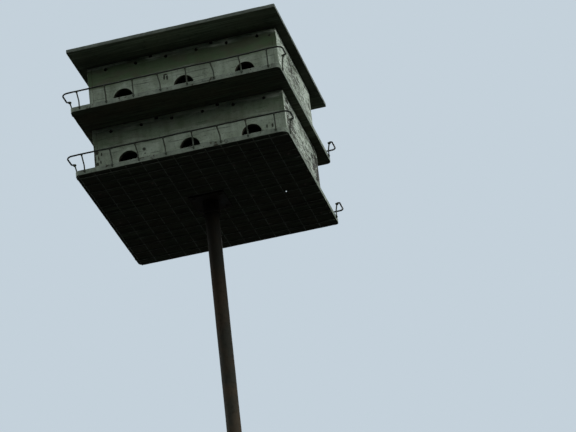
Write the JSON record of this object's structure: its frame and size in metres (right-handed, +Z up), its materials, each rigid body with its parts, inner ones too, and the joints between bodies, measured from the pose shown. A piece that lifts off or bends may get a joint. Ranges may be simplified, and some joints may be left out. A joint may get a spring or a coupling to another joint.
{
  "type": "bird house on a pole",
  "caption": "Flat-roofed bird house in two storeys, with round entrances along front and back porches, wire guard rails and a slender steel pole.",
  "frame": {"origin": "middle of the pole's foot, at ground level", "axes": "+Z up along the pole, -Y out of the front porch, +X to the right of the front"},
  "size_m": [0.6462, 0.6526, 4.989],
  "materials": {
    "wall_paint": "weathered pale green-white paint on board",
    "deck_paint": "weathered pale paint on the edges, dark aged board below",
    "roof_paint": "weathered grey paint on board",
    "bare_board": "bare aged board",
    "rail_wire": "dull dark wire, slightly rusted",
    "pole_steel": "rusty brown steel"
  },
  "bodies": {
    "root": {"pole": "pole_steel", "pole_flange": "pole_steel", "lower_deck": "deck_paint", "upper_deck": "deck_paint", "roof": "roof_paint", "lower_front_wall": "wall_paint", "lower_back_wall": "wall_paint", "lower_left_wall": "wall_paint", "lower_right_wall": "wall_paint", "lower_centre_divider": "bare_board", "lower_left_cross_divider": "bare_board", "lower_right_cross_divider": "bare_board", "lower_front_rail": "rail_wire", "lower_back_rail": "rail_wire", "upper_front_wall": "wall_paint", "upper_back_wall": "wall_paint", "upper_left_wall": "wall_paint", "upper_right_wall": "wall_paint", "upper_centre_divider": "bare_board", "upper_left_cross_divider": "bare_board", "upper_right_cross_divider": "bare_board", "upper_front_rail": "rail_wire", "upper_back_rail": "rail_wire"}
  },
  "joints": []
}
